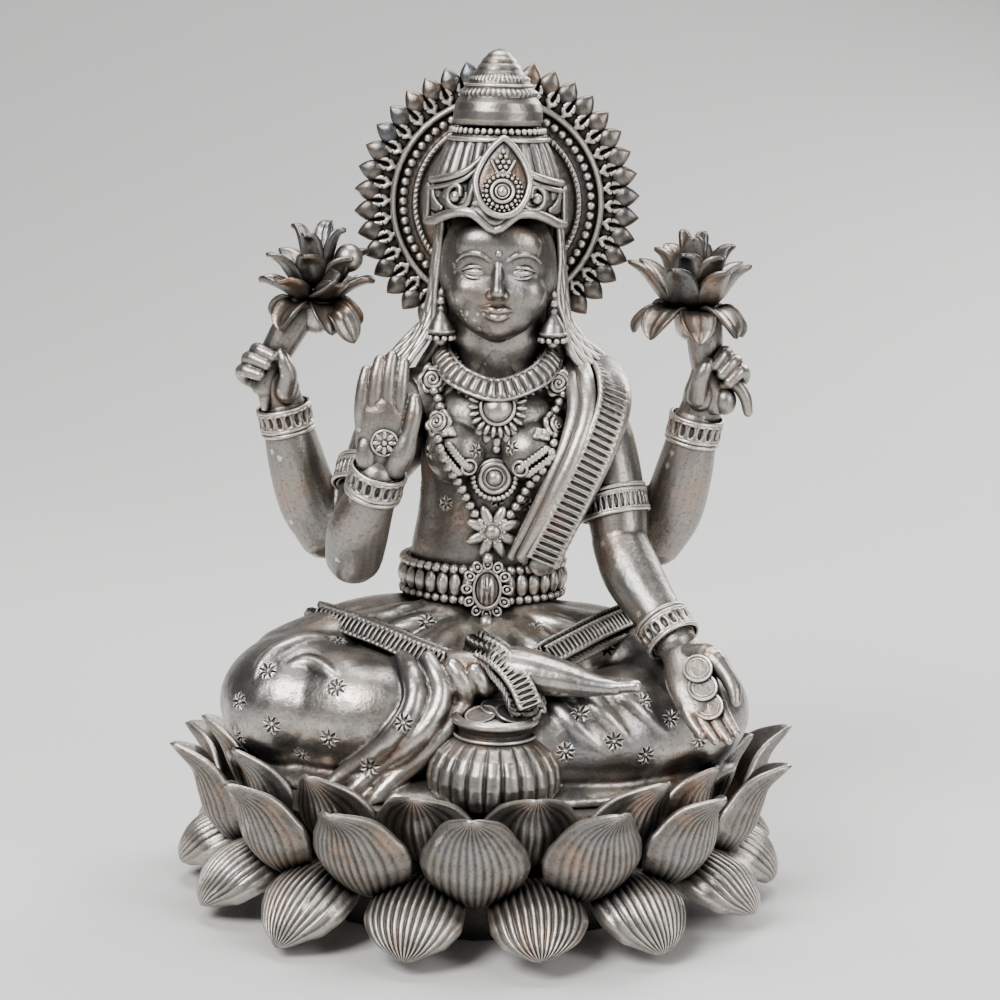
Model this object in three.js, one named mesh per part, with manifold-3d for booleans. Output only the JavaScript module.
// A seated four-armed goddess on a lotus pedestal: a cast metal figurine 200 mm tall, put together from
// separate castings with spigots, pegs and two screws.
// Millimetres, +Z up, origin at the centre of the underside.
// The figure faces -Y; "right" and "left" are its own.
import * as THREE from "three";
import { mergeVertices } from "three/addons/utils/BufferGeometryUtils.js";
import Module from "manifold-3d";

const wasm = await Module();
wasm.setup();

// ---------------------------------------------------------------- driving dimensions
const GAP = 0.3; // clearance between neighbouring castings
const SIDES = 18; // facets round a turned piece

const pedestal = {
  petals: 15,
  drumRadius: 47,
  drumTop: 27,
  counterbore: [8.5, 20],
  seatRadius: 57,
  seatTop: 32,
};
const felt = { radius: 46, thickness: 1.5 };
// Each petal row: the centre line of one petal in the plane through the axis, as [radius, height].
const petalRows = {
  lower: {
    line: [[49, 9], [60, 12.4], [68, 9.6], [73.5, 3]],
    width: 26, thick: 4.4, band: [4, 14.4], turn: 0.5,
  },
  outer: {
    line: [[49, 17], [62, 17.4], [67, 25], [77, 34.5]],
    width: 27, thick: 3, band: [14.7, 19.6], turn: 0,
  },
  inner: {
    line: [[49, 22], [57.5, 25], [61, 32], [68, 38.5]],
    width: 25, thick: 2.6, band: [19.9, 27], turn: 0.5,
  },
};
const pot = { x: 3, y: -44, radius: 14.3, foot: pedestal.seatTop + GAP, rimTop: 51.6, mouth: 7 };
const waist = { height: 71, width: 15.2, depthShare: 0.7 };
const shoulderHeight = 118;
const head = { y: -1, height: 148.5, radii: [13, 14, 16.5], flatTop: 162 };
const crown = { band: 16.6, capTop: 181, top: 200 };
const halo = { y: 17.4, height: 163.5, plate: 26, outer: 34, thick: 2.5, leaves: 40 };

const silver = () => new THREE.MeshStandardMaterial({ color: 0x8d8780, roughness: 0.38, metalness: 1 });
const feltGreen = () => new THREE.MeshStandardMaterial({ color: 0x23302a, roughness: 0.95, metalness: 0 });
const screwSteel = () => new THREE.MeshStandardMaterial({ color: 0x9a9a98, roughness: 0.35, metalness: 1 });

const statue = new THREE.Group();

// ---------------------------------------------------------------- solids from three.js geometry
function solid(geometry) {
  const bare = geometry.index ? geometry.toNonIndexed() : geometry.clone();
  bare.deleteAttribute("normal");
  bare.deleteAttribute("uv");
  const merged = mergeVertices(bare, 1e-4);
  const corners = merged.index.array;
  const kept = [];
  for (let i = 0; i < corners.length; i += 3) {
    const [a, b, c] = [corners[i], corners[i + 1], corners[i + 2]];
    if (a !== b && b !== c && c !== a) kept.push(a, b, c);
  }
  const make = (order) =>
    new wasm.Manifold(
      new wasm.Mesh({
        numProp: 3,
        vertProperties: merged.attributes.position.array,
        triVerts: new Uint32Array(order),
      }),
    );
  const made = make(kept);
  return made.volume() > 0 ? made : make(kept.reverse());
}

function join(...solids) {
  return solids.reduce((all, next) => all.add(next));
}

function cut(body, ...tools) {
  const left = tools.reduce((rest, tool) => rest.subtract(tool), body).decompose();
  return left.sort((a, b) => b.volume() - a.volume())[0];
}

function place(name, body, material = silver()) {
  const { vertProperties, triVerts } = body.getMesh();
  const geometry = new THREE.BufferGeometry();
  geometry.setAttribute("position", new THREE.BufferAttribute(vertProperties, 3));
  geometry.setIndex(new THREE.BufferAttribute(triVerts, 1));
  const flat = geometry.toNonIndexed();
  flat.computeVertexNormals();
  const mesh = new THREE.Mesh(flat, material);
  mesh.name = name;
  statue.add(mesh);
}

// A solid turned about Z from [radius, height] points, with an elliptical section where depth isn't 1.
function turned(profile, { x = 0, y = 0, depth = 1, sides = SIDES, tilt = 0, height = 0 } = {}) {
  const points = profile.map(([r, z]) => new THREE.Vector2(r, z));
  return solid(
    new THREE.LatheGeometry(points, sides)
      .rotateX(Math.PI / 2)
      .scale(1, depth, 1)
      .rotateX(tilt)
      .translate(x, y, height),
  );
}

function ball([x, y, z], [rx, ry, rz], detail = 14) {
  return solid(
    new THREE.SphereGeometry(1, detail, Math.round(detail * 0.6))
      .rotateX(Math.PI / 2)
      .scale(rx, ry, rz)
      .translate(x, y, z),
  );
}

// A round-ended limb from one point to another; radii are spaced evenly along it.
function limb(from, to, radii, grow = 0, sides = 12) {
  const start = new THREE.Vector3(...from);
  const way = new THREE.Vector3(...to).sub(start);
  const length = way.length();
  const grown = radii.map((r) => r + grow);
  const [first, last] = [grown[0], grown[grown.length - 1]];
  const profile = [
    [0, -first * 0.8],
    [first * 0.7, -first * 0.5],
    ...grown.map((r, i) => [r, (length * i) / (grown.length - 1)]),
    [last * 0.7, length + last * 0.5],
    [0, length + last * 0.8],
  ];
  const points = profile.map(([r, z]) => new THREE.Vector2(r, z));
  const turn = new THREE.Quaternion().setFromUnitVectors(new THREE.Vector3(0, 0, 1), way.normalize());
  return solid(
    new THREE.LatheGeometry(points, sides).rotateX(Math.PI / 2).applyQuaternion(turn).translate(...start),
  );
}

function pin(from, to, radius, sides = 8) {
  const [a, b] = [new THREE.Vector3(...from), new THREE.Vector3(...to)];
  const way = b.clone().sub(a);
  const turn = new THREE.Quaternion().setFromUnitVectors(new THREE.Vector3(0, 1, 0), way.clone().normalize());
  const rod = new THREE.CylinderGeometry(radius, radius, way.length(), sides);
  return solid(rod.applyQuaternion(turn).translate(...a.add(b).multiplyScalar(0.5)));
}

function box([x0, y0, z0], [x1, y1, z1]) {
  return solid(
    new THREE.BoxGeometry(x1 - x0, y1 - y0, z1 - z0).translate((x0 + x1) / 2, (y0 + y1) / 2, (z0 + z1) / 2),
  );
}

// A strip or cord of the given section swept along points.
function swept(points, [width, height], steps = 20, sides = 4) {
  const path = new THREE.CatmullRomCurve3(points.map((p) => new THREE.Vector3(...p)));
  const section = new THREE.Shape(
    Array.from({ length: sides }, (_, i) => {
      const angle = (2 * Math.PI * (i + 0.5)) / sides;
      const reach = sides === 4 ? Math.SQRT1_2 : 0.5;
      return new THREE.Vector2(Math.cos(angle) * height * reach, Math.sin(angle) * width * reach);
    }),
  );
  return solid(new THREE.ExtrudeGeometry(section, { steps, extrudePath: path, bevelEnabled: false }));
}

// ---------------------------------------------------------------- lotus pedestal
// One petal: a ball flattened to a pointed leaf and laid along the row's centre line.
function petal(row, angle, grow) {
  const line = new THREE.CatmullRomCurve3(row.line.map(([r, z]) => new THREE.Vector3(r, 0, z)));
  const geometry = new THREE.SphereGeometry(1, 6, 5).rotateZ(-Math.PI / 2);
  const position = geometry.getAttribute("position");
  for (let i = 0; i < position.count; i += 1) {
    const along = THREE.MathUtils.clamp((position.getX(i) + 1) / 2, 0, 1);
    const centre = line.getPoint(along);
    const heading = line.getTangent(along);
    const across = position.getY(i) * (row.width / 2 + grow);
    const through = position.getZ(i) * (row.thick / 2 + grow);
    position.setXYZ(i, centre.x - heading.z * through, across, centre.z + heading.x * through);
  }
  return solid(geometry.rotateZ(angle));
}

function petalRing(row, grow = 0) {
  const [low, high] = row.band;
  const { drumRadius, petals } = pedestal;
  const band = turned([
    [drumRadius + GAP - grow, low - grow],
    [drumRadius + 5 + grow, low - grow],
    [drumRadius + 5 + grow, high + grow],
    [drumRadius + GAP - grow, high + grow],
    [drumRadius + GAP - grow, low - grow],
  ], { sides: 30 });
  const leaves = Array.from({ length: petals }, (_, i) =>
    petal(row, -Math.PI / 2 + (2 * Math.PI * (i + row.turn)) / petals, grow),
  );
  return join(band, ...leaves);
}

const screwHole = (radius, low, high) => pin([0, 0, low], [0, 0, high], radius);

function buildPedestal() {
  const { drumRadius, drumTop, counterbore, seatRadius, seatTop } = pedestal;
  const footHeight = felt.thickness + GAP;
  const feltOutline = [[0, 0], [felt.radius, 0], [felt.radius, felt.thickness], [0, felt.thickness]];
  place("felt_pad", turned(feltOutline), feltGreen());
  const [boreRadius, boreTop] = counterbore;
  const drum = turned([
    [0, boreTop],
    [boreRadius, boreTop],
    [boreRadius, footHeight],
    [drumRadius, footHeight],
    [drumRadius, drumTop],
    [0, drumTop],
  ], { sides: 30 });
  place("base_drum", cut(drum, screwHole(3.3, 10, 40)));
  Object.entries(petalRows).forEach(([name, row]) => place(`${name}_petal_ring`, petalRing(row)));

  const plateFoot = drumTop + GAP;
  const plateOutline = [[0, plateFoot], [seatRadius, plateFoot], [seatRadius, seatTop], [0, seatTop]];
  const plate = turned(plateOutline, { sides: 30 });
  const potPeg = pin([pot.x, pot.y, 29], [pot.x, pot.y, 40], 4 + GAP);
  const figurePegs = [-1, 1].map((side) => pin([side * 22, 0, 28.5], [side * 22, 0, 40], 2.5 + GAP));
  const clearance = screwHole(3.3, 10, 40);
  place("seat_plate", cut(plate, petalRing(petalRows.inner, GAP), clearance, potPeg, ...figurePegs));

  const washerTop = boreTop - GAP;
  const washer = pin([0, 0, washerTop - 1.2], [0, 0, washerTop], 7, 16);
  place("base_washer", cut(washer, clearance), screwSteel());
  const headTop = washerTop - 1.2 - GAP;
  const boltHead = pin([0, 0, headTop - 4], [0, 0, headTop], 5, 6);
  const bolt = join(boltHead, pin([0, 0, headTop - 1], [0, 0, 44], 2.9));
  place("base_screw", bolt, screwSteel());
}

// ---------------------------------------------------------------- pot of coins
function potBody(grow = 0) {
  const r = pot.radius;
  const outside = [
    [0, pot.foot - grow],
    [8 + grow, pot.foot - grow],
    [r - 1.8 + grow, 34.5 - grow],
    [r + grow, 39],
    [r - 1.5 + grow, 44],
    [9 + grow, 47 + grow],
    [8 + grow, 48.6],
    [9.6 + grow, 50.4],
    [9.6 + grow, pot.rimTop],
  ];
  const inside = grow
    ? [[0, pot.rimTop + grow]]
    : [[pot.mouth + 1, pot.rimTop], [pot.mouth, 49], [pot.mouth, 43.5], [0, 43.5]];
  return turned([...outside, ...inside], { x: pot.x, y: pot.y });
}

function buildPot() {
  const peg = pin([pot.x, pot.y, 29.3], [pot.x, pot.y, 36], 4);
  place("pot", join(potBody(), peg));
  const heap = [[0, 43.8], [6.6, 43.8], [6.6, 50], [6.9, 51.5], [5.6, 53.4], [0, 54.4]];
  place("pot_coins", turned(heap, { x: pot.x, y: pot.y, sides: 14 }));
}

// ---------------------------------------------------------------- legs and skirt
function legs(grow = 0) {
  const forms = [
    ball([0, 3, 55], [27 + grow, 21 + grow, 18 + grow], 14),
    ball([0, -8, 41], [58 + grow, 29 + grow, 15 + grow], 16),
    turned([[0, 50], [28 + grow, 52], [24 + grow, 62], [18 + grow, waist.height + grow], [0, waist.height + grow]], {
      y: 1,
      depth: 0.85,
    }),
    limb([-12, 0, 54], [-45, -14, 50], [16, 17, 16.6], grow, 12),
    limb([-45, -16, 48], [-2, -32, 51], [16.4, 14, 9], grow, 12),
    limb([12, 0, 53], [46, -10, 47], [15, 15.5, 15], grow, 12),
    limb([46, -14, 45], [12, -36, 43.5], [15.5, 13, 10.5], grow, 12),
  ];
  const body = join(...forms);
  return body.subtract(box([-90, -90, 0], [90, 90, pedestal.seatTop + GAP - grow]));
}

const ankle = [8, -38, 60.5];
const toes = [34, -45, 60];
function foot(grow = 0) {
  return join(
    limb(ankle, [19, -40.5, 60.5], [5.6, 5.2, 4.4], grow, 8),
    limb([19, -40.5, 60.5], toes, [4.4, 3.2, 1.9], grow, 8),
  );
}

// Ribbed borders of the skirt, laid over the lap.
const hems = {
  hem_band_right: {
    line: [[-42, -6, 68.2], [-33, -17, 68.2], [-22, -28, 66.5], [-11.5, -36, 63.5]],
    section: [5.4, 2.4],
  },
  hem_band_left: {
    line: [[37.5, -8, 65.6], [32, -19, 66.6], [25, -28, 65.8], [18.5, -33, 65]],
    section: [5.2, 2.4],
  },
  hem_band_ankle: {
    line: [[-2.5, -33, 66], [3, -38.5, 66.6], [6, -43.2, 63], [7, -45.6, 57.6]],
    section: [5.2, 2.2],
  },
};

function torsoForm(grow = 0) {
  const halfWidths = [
    [14.6, 62],
    [15, 76],
    [waist.width, 80],
    [17, 88],
    [20, 96],
    [22.5, 104],
    [24.5, 111],
    [25.5, 116],
    [23.5, 121],
    [17, 125.5],
    [10, 128.5],
  ];
  const profile = [
    [0, 62 - grow],
    ...halfWidths.map(([r, z]) => [r + grow, z + (z > 120 ? grow : 0)]),
    [0, 129.5 + grow],
  ];
  return turned(profile, { depth: waist.depthShare, sides: 20 });
}

function buildLegs() {
  const potRoom = pin([pot.x, pot.y, 30], [pot.x, pot.y, 56], pot.radius + GAP, SIDES);
  const pegs = [-1, 1].map((side) => pin([side * 22, 0, 28.8], [side * 22, 0, 44], 2.5));
  const body = cut(
    join(legs(), ...pegs),
    potRoom,
    torsoForm(GAP),
    foot(GAP),
    screwHole(3.2, 20, 45),
  );
  place("lower_body", body);
  place("right_foot", cut(foot(), potRoom));
  const around = [legs(GAP), foot(GAP), potRoom, torsoForm(GAP)];
  Object.entries(hems).forEach(([name, { line, section }]) => {
    place(name, cut(swept(line, section, 14), ...around));
  });
}

// ---------------------------------------------------------------- torso and what is on it
// A point on the chest's surface, lifted off it along the front.
function onChest(x, z, lift) {
  const half = THREE.MathUtils.lerp(17, 25.5, THREE.MathUtils.clamp((z - 88) / 28, 0, 1));
  const width = z > 121 ? THREE.MathUtils.lerp(23.5, 17, (z - 121) / 4.5) : half;
  const depth = width * waist.depthShare * Math.sqrt(Math.max(0, 1 - (x / width) ** 2));
  return [x, -depth - lift, z];
}

function medal(x, z, radius, thickness, lift, scallops = 12) {
  const [, y] = onChest(x, z, lift);
  return pin([x, y + thickness / 2, z], [x, y - thickness / 2, z], radius, scallops);
}

const shoulders = {
  frontRight: { shoulder: [-24.5, -2, shoulderHeight], elbow: [-31.5, -21.5, 83.5], wrist: [-25.5, -31, 101] },
  frontLeft: { shoulder: [25, -2, shoulderHeight], elbow: [31.5, -10, 84.5], wrist: [43, -26.5, 68] },
  rearRight: { shoulder: [-17, 9, 112], elbow: [-40.5, 10, 82.5], wrist: [-48.6, 5.5, 109] },
  rearLeft: { shoulder: [17, 9, 112], elbow: [41.5, 10, 83], wrist: [48.4, 5.5, 108.5] },
};

function armForm({ shoulder, elbow, wrist }, grow = 0) {
  return join(
    limb(shoulder, elbow, [7.4, 7.6, 6.6], grow, 10),
    limb(elbow, wrist, [6.8, 7, 5], grow, 10),
  );
}

// A ring round the axis from one point towards another, its middle a share of the way along.
function cuff(from, to, share, [inner, outer], width, sides = 12) {
  const [a, b] = [new THREE.Vector3(...from), new THREE.Vector3(...to)];
  const way = b.clone().sub(a).normalize();
  const half = width / 2;
  const outline = [
    [inner, -half],
    [outer - 0.5, -half],
    [outer, 0],
    [outer - 0.5, half],
    [inner, half],
    [inner, -half],
  ];
  const points = outline.map(([r, z]) => new THREE.Vector2(r, z));
  const turn = new THREE.Quaternion().setFromUnitVectors(new THREE.Vector3(0, 0, 1), way);
  const middle = a.lerp(b, share);
  const ring = new THREE.LatheGeometry(points, sides).rotateX(Math.PI / 2);
  return solid(ring.applyQuaternion(turn).translate(...middle));
}

const armletSpots = { frontRight: 0.52, frontLeft: 0.62 };
function armlet(name, grow = 0) {
  const { shoulder, elbow } = shoulders[name];
  return cuff(shoulder, elbow, armletSpots[name], [8.2 - grow, 9.4 + grow], 4.6 + 2 * grow);
}

// The peg by which an arm is set into the shoulder.
function armPeg({ shoulder, elbow }, grow = 0) {
  const [x, y, z] = shoulder;
  const inArm = shoulder.map((c, i) => THREE.MathUtils.lerp(c, elbow[i], 0.35));
  return pin(inArm, [x * 0.6, y * 0.4, z - 3], 3 + grow);
}

function headForm(grow = 0) {
  const { y, height, radii, flatTop } = head;
  const skull = ball([0, y, height], radii.map((r) => r + grow), 16);
  const dome = skull.subtract(box([-30, -30, flatTop + grow], [30, 30, 180]));
  return join(dome, pin([0, 1, 122 - grow], [0, -1, 142], 6.4 + grow, 14));
}

const capProfile = (grow) => [
  [0, head.flatTop + GAP - grow],
  [14.8 + grow, head.flatTop + GAP - grow],
  [14.6 + grow, 169],
  [13, 175],
  [10.2 + grow, crown.capTop],
  [0, crown.capTop + grow],
];
const cap = (grow = 0) => turned(capProfile(grow), { y: head.y, depth: 0.92 });

function collarForm(grow = 0) {
  const loop = [
    [7.4 - grow, -grow],
    [8 - grow, 2.2 + grow],
    [14.6 + grow, -1.4 + grow],
    [15.4 + grow, -4 - grow],
    [7.4 - grow, -grow],
  ];
  return turned(loop, { depth: 1.22, height: 128.2, tilt: 0.13, y: -0.5, sides: 18 });
}

function buildTorso() {
  const sockets = Object.values(shoulders).map((arm) => armPeg(arm, GAP));
  place("torso", cut(torsoForm(), headForm(GAP), ...sockets));

  const beltRing = turned([[8, 72], [19.4, 72], [20.2, 76], [19.2, 80], [8, 80], [8, 72]], { depth: 0.8 });
  place("belt", cut(beltRing, torsoForm(GAP), legs(GAP)));
  const buckle = join(
    pin([0, -16.6, 76], [0, -18.6, 76], 6.6, 12),
    ball([0, -18, 68.3], [2, 1.6, 2.4], 8),
    pin([0, -17.6, 67.5], [0, -17.6, 72], 1.4, 8),
  );
  const beltRoom = turned([[0, 71], [20.4 + GAP, 71], [20.4 + GAP, 81], [0, 81]], { depth: 0.8 });
  place("buckle", cut(buckle, beltRoom, legs(GAP)));

  const haloRoom = pin([0, halo.y - halo.thick, halo.height], [0, 40, halo.height], halo.outer + 1, 20);
  const collar = cut(collarForm(), torsoForm(GAP), headForm(GAP), haloRoom);
  place("collar", collar);
  const collarPendant = medal(0.5, 117.2, 6.6, 2, 1.6);
  const strandLine = [[-18, 124], [-16.5, 117], [-14.8, 109], [-12, 100.5], [-7, 93], [0, 89.5]];
  const chainLine = [[-11.2, 121.2], [-12, 115], [-10, 109.5], [-5, 104], [0, 101.4]];
  const mirrored = (line) => [...line, ...line.slice(0, -1).reverse().map(([x, z]) => [-x, z])];
  const strandPath = mirrored(strandLine).map(([x, z]) => onChest(x, z, 1.7));
  const chainPath = mirrored(chainLine).map(([x, z]) => onChest(x, z, 2));
  const strand = (size) => swept(strandPath, [size, size], 14, 4);
  const chain = (size) => swept(chainPath, [size + 0.6, size], 12, 4);
  const medallion = medal(0.5, 101.5, 5, 2.2, 2.2);
  const star = medal(0.5, 89, 6, 2, 2.6);
  place("collar_pendant", cut(collarPendant, torsoForm(GAP), collarForm(GAP)));
  place("chain_medallion", cut(medallion, torsoForm(GAP)));
  place("star_pendant", cut(star, torsoForm(GAP)));
  const medals = [
    medal(0.5, 117.2, 6.9, 2.6, 1.6),
    medal(0.5, 101.5, 5.3, 2.8, 2.2),
    medal(0.5, 89, 6.3, 2.6, 2.6),
  ];
  place("bead_strand", cut(strand(2.4), torsoForm(GAP), ...medals));
  place("flower_chain", cut(chain(2.6), torsoForm(GAP), strand(3), collarForm(GAP), ...medals));

  const sashLine = [
    [24, 3, 127.3],
    [26.4, -8, 124.4],
    [25.6, -14.4, 115],
    [22, -16, 103],
    [17, -15.6, 92],
    [11.4, -15.2, 82.4],
  ];
  const sash = swept(sashLine, [8.6, 3], 18);
  const jewels = [strand(3), chain(3.2), collarForm(GAP), ...medals];
  const worn = [torsoForm(GAP), armForm(shoulders.frontLeft, GAP), ...jewels];
  worn.push(armlet("frontLeft", GAP));
  place("sash", cut(sash, ...worn));
}

// ---------------------------------------------------------------- head, hair and crown
function leafOutline(width, height) {
  const outline = new THREE.Shape();
  outline.moveTo(0, 0);
  outline.bezierCurveTo(width * 0.7, 0, width * 0.62, height * 0.6, 0, height);
  outline.bezierCurveTo(-width * 0.62, height * 0.6, -width * 0.7, 0, 0, 0);
  return outline;
}

// A flat cut-out of the given thickness whose front faces -Y, leaning back by `lean`.
function plate(outline, thickness, [x, y, z], lean = 0, curveSegments = 5) {
  const geometry = new THREE.ExtrudeGeometry(outline, { depth: thickness, bevelEnabled: false, curveSegments });
  return solid(geometry.rotateX(Math.PI / 2 - lean).translate(x, y, z));
}

const bandForm = (grow = 0) =>
  turned([
    [9, 155.6 - grow],
    [16 + grow, 155.6 - grow],
    [16.9 + grow, 158.6],
    [16.2 + grow, 162 + grow],
    [9, 162 + grow],
    [9, 155.6 - grow],
  ], { y: head.y, depth: 0.94 });

function buildHead() {
  const features = [
    ball([0, -14.2, 146.4], [1.9, 2.6, 3.4], 8),
    ball([0, -13, 140.4], [3.2, 1.8, 1.3], 8),
    ball([0, -9.4, 135.6], [4.6, 3.6, 3.4], 8),
  ];
  const stud = pin([0, 6, 150], [0, 20, 150], 2 + GAP, 10);
  place("head", cut(join(headForm(), ...features), stud));

  const worn = [headForm(GAP), torsoForm(GAP), collarForm(GAP), bandForm(GAP)];
  const locks = [-1, 1].map((side) =>
    join(
      limb([side * 13.2, 4, 150], [side * 14, 3.4, 138], [3.2, 3.6, 3.4], 0, 6),
      limb([side * 14, 3.4, 138], [side * 15.4, 2.6, 128.5], [3.4, 3.8, 2.4], 0, 6),
    ),
  );
  const lockRoom = [-1, 1].map((side) =>
    join(
      limb([side * 13.2, 4, 150], [side * 14, 3.4, 138], [3.2, 3.6, 3.4], GAP, 6),
      limb([side * 14, 3.4, 138], [side * 15.4, 2.6, 128.5], [3.4, 3.8, 2.4], GAP, 6),
    ),
  );
  place("hair_lock_right", cut(locks[0], ...worn));
  place("hair_lock_left", cut(locks[1], ...worn));
  const fall = join(ball([0, 7, 143], [13.4, 8.6, 14], 10), ball([0, 13.5, 122], [11.5, 6.5, 25], 10));
  const behind = [pin([0, 12.4, halo.height], [0, 40, halo.height], halo.outer + 1, 20), stud];
  const arms = ["rearRight", "rearLeft"].map((arm) => armForm(shoulders[arm], GAP));
  place("hair_back", cut(fall, ...worn, ...lockRoom, ...behind, ...arms));
  [-1, 1].forEach((side) => {
    const bell = turned([[0, 132.6], [2.4, 133], [2, 135.6], [1, 137.4], [1.6, 139], [0, 140.2]], {
      x: side * 12.6,
      y: -5.4,
      sides: 10,
    });
    const name = side < 0 ? "earring_right" : "earring_left";
    place(name, cut(bell, ...worn, ...lockRoom));
  });
}

function buildCrown() {
  place("crown_band", cut(bandForm(), headForm(GAP)));
  place("crown_cap", cap());
  const finial = [
    [0, crown.capTop + GAP],
    [10.4, crown.capTop + GAP],
    [10.4, 183.2],
    [8.6, 184.4],
    [10, 186.6],
    [9.4, 189],
    [7.6, 190.4],
    [8, 192],
    [5.4, 196],
    [1.6, 198.6],
    [0, crown.top],
  ];
  place("crown_dome", turned(finial, { y: head.y, depth: 0.94 }));
  const crest = plate(leafOutline(12.4, 17.4), 2.4, [0.4, -14.6, 162.6], 0.24);
  const rosette = pin([0.4, -15.6, 168.6], [0.4, -18.4, 168.2], 3.6, 12);
  place("crown_crest", cut(join(crest, rosette), cap(GAP), bandForm(GAP)));
}

function buildHalo() {
  const { y, height, plate: radius, outer, thick, leaves } = halo;
  const [front, back] = [y - thick / 2, y + thick / 2];
  const facing = (profile, sides) => {
    const points = profile.map(([r, depth]) => new THREE.Vector2(r, depth));
    return solid(new THREE.LatheGeometry(points, sides).translate(0, 0, height));
  };
  const discOutline = [
    [0, front],
    [radius - 1, front],
    [radius - 1, back],
    [radius + 2.4, back],
    [radius + 2.4, back + 1.4],
    [0, back + 1.4],
  ];
  const disc = facing(discOutline, 40);
  const stud = pin([0, 7, 150], [0, back, 150], 2, 10);
  place("halo_disc", join(disc, stud));

  const edge = new THREE.Shape();
  const step = (2 * Math.PI) / leaves;
  for (let i = 0; i < leaves; i += 1) {
    [[-0.5, outer - 4.6], [0, outer]].forEach(([turn, r]) => {
      const angle = step * (i + turn);
      const corner = [r * Math.sin(angle), r * Math.cos(angle)];
      if (i === 0 && turn === -0.5) edge.moveTo(...corner);
      else edge.lineTo(...corner);
    });
  }
  edge.closePath();
  const room = pin([0, 0, height], [0, 40, height], radius - 1 + GAP, 40);
  place("halo_leaf_ring", cut(plate(edge, thick - GAP, [0, back - GAP, height]), room));

  const beads = new THREE.TorusGeometry(22.5, 1.1, 4, 32).rotateX(Math.PI / 2).translate(0, front - GAP - 1.1, height);
  place("halo_bead_ring", cut(solid(beads), cap(GAP), headForm(GAP), bandForm(GAP)));
}

// ---------------------------------------------------------------- arms, hands and what they hold
// Fingers as [root, tip] pairs, each a tapered limb.
const fingers = (pairs, radii = [2, 1.3], grow = 0) => pairs.map(([root, tip]) => limb(root, tip, radii, grow, 5));

const stems = {
  Right: {
    line: [[-55.6, 1, 118], [-52.4, 0.6, 124.5], [-47.2, 2, 134], [-45, 3, 138.6]],
    flower: [-41.6, 3, 145.4],
    lean: 0.34,
  },
  Left: {
    line: [[58.6, -1, 120.6], [54.4, 0, 124], [51.4, 2, 130.4], [50, 3, 137.6]],
    flower: [47, 3, 145.6],
    lean: -0.16,
  },
};

function stemForm(side, grow = 0) {
  return swept(stems[side].line, [3.4 + 2 * grow, 3.4 + 2 * grow], 10, 8);
}

function lotus(side) {
  const { flower: [x, y, z], lean } = stems[side];
  const petals = Array.from({ length: 7 }, (_, i) => {
    const leaf = new THREE.SphereGeometry(1, 6, 4).rotateX(Math.PI / 2).scale(6, 1.6, 10);
    const angle = (2 * Math.PI * i) / 7;
    return solid(leaf.rotateX(0.9).translate(0, -8.4, 2.4).rotateZ(angle).rotateY(lean).translate(x, y, z));
  });
  const heart = solid(new THREE.SphereGeometry(6.4, 10, 6).scale(1, 1, 1.3).rotateY(lean).translate(x, y, z));
  return join(heart, ...petals);
}

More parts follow.
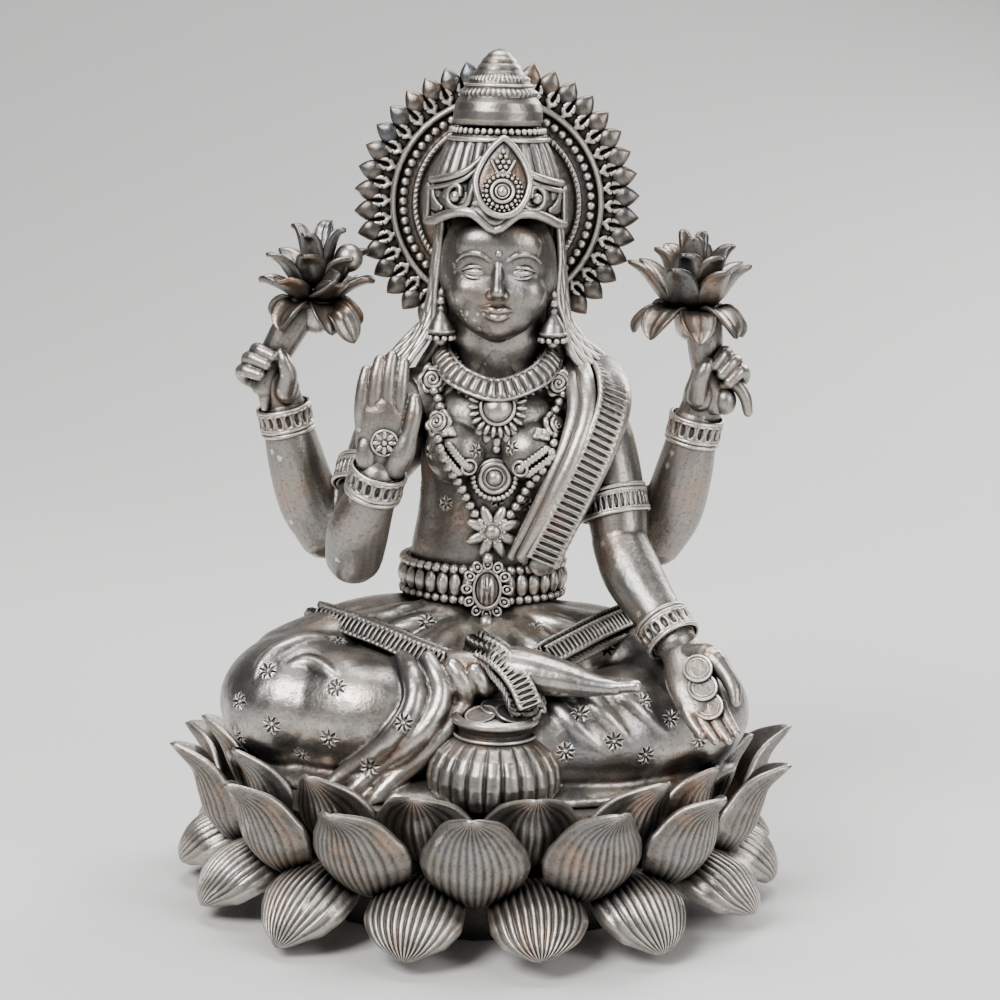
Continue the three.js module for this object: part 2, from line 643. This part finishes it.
function buildArms() {
  const { frontRight, frontLeft, rearRight, rearLeft } = shoulders;
  const sides = {
    front_right: frontRight,
    front_left: frontLeft,
    rear_right: rearRight,
    rear_left: rearLeft,
  };
  const around = [torsoForm(GAP), legs(GAP)];
  Object.entries(sides).forEach(([name, arm]) => {
    const others = name.startsWith("rear") ? [armForm(frontRight, GAP), armForm(frontLeft, GAP)] : [];
    place(`${name}_arm`, join(cut(armForm(arm), ...around, ...others), armPeg(arm)));
    place(`${name}_bangle`, cuff(arm.elbow, arm.wrist, 0.94, [5.7, 7], 3.4));
  });
  ["frontRight", "frontLeft"].forEach((name) => {
    const others = [rearRight, rearLeft].map((rear) => armForm(rear, GAP));
    place(`front_${name.slice(5).toLowerCase()}_armlet`, cut(armlet(name), ...around, ...others));
  });

  const raised = join(
    ball([-23.4, -32.4, 112], [6.3, 3, 8], 10),
    ...fingers([
      [[-27.4, -32.4, 116], [-28.6, -33, 125.4]],
      [[-24.8, -32.4, 117], [-25.2, -33, 129.4]],
      [[-22, -32.4, 117], [-21.8, -33, 130]],
      [[-19.4, -32.4, 116], [-18.6, -33, 127.2]],
      [[-19.4, -33, 109], [-16.8, -35, 117.4]],
    ], [2, 1.5]),
  );
  const rosette = pin([-23.2, -36.8, 112.6], [-23.2, -35.7, 112.6], 3.2, 12);
  const rightCuff = cuff(frontRight.elbow, frontRight.wrist, 0.94, [2, 7.4], 4.2);
  place("front_right_hand", cut(raised, armForm(frontRight, GAP), rightCuff));
  place("palm_rosette", cut(rosette, ball([-23.4, -32.4, 112], [6.3 + GAP, 3 + GAP, 8 + GAP], 10)));

  const giving = join(
    limb([44.6, -28.6, 65.6], [50, -36, 58.6], [4.4, 5.4, 4.6], 0, 10),
    ...fingers([
      [[46.6, -37, 57.6], [48.6, -42, 50]],
      [[49.2, -38, 57], [51.4, -43, 48.6]],
      [[51.8, -37.6, 57.6], [54.4, -42, 49.4]],
      [[54, -36, 59], [56.8, -40, 51.4]],
      [[46.4, -34, 62], [42.6, -39.6, 56.6]],
    ], [2, 1.4]),
  );
  const leftCuff = cuff(frontLeft.elbow, frontLeft.wrist, 0.94, [2, 7.4], 4.2);
  place("front_left_hand", cut(giving, armForm(frontLeft, GAP), leftCuff, legs(GAP)));

  Object.entries({ Right: [rearRight, -1], Left: [rearLeft, 1] }).forEach(([side, [arm, sign]]) => {
    const lower = side.toLowerCase();
    const knuckles = [0, 1, 2, 3].map((i) => [
      [sign * (57 - i * 0.5), 1, 117.8 + i * 3],
      [sign * (48.6 - i * 0.5), -2.6, 118.4 + i * 3],
    ]);
    const fist = join(ball([sign * 52.4, 3.4, 122], [6.4, 6.2, 7.4], 10), ...fingers(knuckles, [2.2, 2]));
    const band = cuff(arm.elbow, arm.wrist, 0.94, [2, 7.4], 4.2);
    place(`rear_${lower}_hand`, cut(fist, armForm(arm, GAP), band, stemForm(side, GAP)));
    place(`lotus_stem_${lower}`, cut(stemForm(side), armForm(arm, GAP)));
    place(`lotus_flower_${lower}`, cut(lotus(side), stemForm(side, GAP)));
  });
}

function buildPalmCoins() {
  const centres = [[48.4, -39.8, 63.4], [49.5, -41.8, 59.6], [50.8, -43.8, 55.8]];
  centres.forEach(([x, y, z], i) => {
    const coin = pin([x, y + 0.4, z - 0.08], [x, y - 0.4, z + 0.08], 3.4, 12);
    place(`palm_coin_${i + 1}`, coin);
  });
}

buildPedestal();
buildPot();
buildLegs();
buildTorso();
buildHead();
buildCrown();
buildHalo();
buildArms();
buildPalmCoins();

export default statue;
